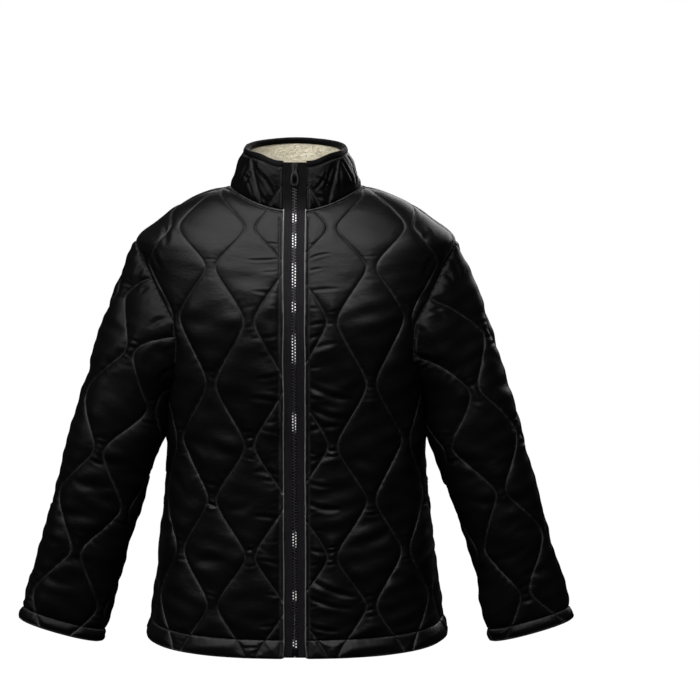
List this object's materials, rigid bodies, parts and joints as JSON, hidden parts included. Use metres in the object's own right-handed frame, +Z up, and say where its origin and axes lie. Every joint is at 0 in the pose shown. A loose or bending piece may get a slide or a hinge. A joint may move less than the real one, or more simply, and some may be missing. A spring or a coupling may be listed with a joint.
{
  "type": "quilted jacket",
  "caption": "Hollow worn quilted jacket with stand collar, long set-in sleeves and a full-length front zip with a swinging loop pull.",
  "frame": {"origin": "the middle of the garment at the height where the wearer's shoulders carry it, under the shoulder seams", "axes": "+Z up, +X across towards the wearer's left side, the front with the zip faces -Y"},
  "size_m": [0.8, 0.2831, 0.7241],
  "materials": {
    "shell_cloth": "black downproof plain-woven polyamide with a satin sheen, quilted over soft padding",
    "binding_cloth": "matt black bias binding",
    "fleece": "cream short-pile fleece",
    "zip_tape": "matt black woven zip tape",
    "zip_metal": "gunmetal zip teeth, bright where worn",
    "dark_metal": "dark gunmetal slider, pull and bottom box"
  },
  "bodies": {
    "root": {"front_right": "shell_cloth", "front_left": "shell_cloth", "back": "shell_cloth", "sleeve_right": "shell_cloth", "sleeve_left": "shell_cloth", "collar": "shell_cloth", "collar_lining": "fleece", "collar_binding": "binding_cloth", "zip_tape_right": "zip_tape", "zip_tape_left": "zip_tape", "zip_chain": "zip_metal", "zip_box": "dark_metal", "zip_slider": "dark_metal"},
    "pull": {"zip_pull": "dark_metal"}
  },
  "joints": [
    {"name": "pull_tab", "type": "hinge", "parent": "root", "child": "pull", "pos_m": [0, -0.06572, 0.04628], "axis": [-1, 0, 0], "range_deg": [0, 150]}
  ]
}
